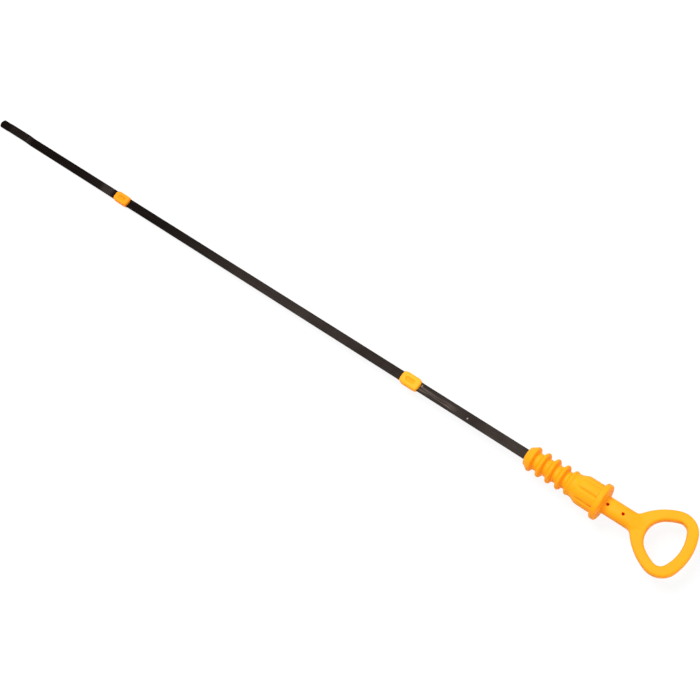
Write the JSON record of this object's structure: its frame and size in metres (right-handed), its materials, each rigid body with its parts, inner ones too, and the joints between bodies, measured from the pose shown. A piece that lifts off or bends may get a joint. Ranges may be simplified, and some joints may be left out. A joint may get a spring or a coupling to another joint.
{
  "type": "engine oil dipstick",
  "caption": "Flat steel oil level strip with a raised hatched level zone, moulded guides, and a ribbed tube plug with a stop flange, neck and finger ring.",
  "frame": {"origin": "on the plug's axis, in the plane of the flange face that stops on the tube", "axes": "+X along the stick from the tip towards the finger ring, +Z square to the strip's broad face and the finger ring, on the side where the level zone is raised, +Y across the strip"},
  "size_m": [0.5521, 0.036, 0.0208],
  "materials": {
    "blade_steel": "thin black oxide finish on spring steel, low sheen",
    "handle_plastic": "yellow-orange moulded plastic with a soft sheen",
    "guide_plastic": "yellow-orange moulded plastic with a soft sheen"
  },
  "bodies": {
    "root": {"blade": "blade_steel", "handle": "handle_plastic", "lower_guide": "guide_plastic", "upper_guide": "guide_plastic"}
  },
  "joints": []
}
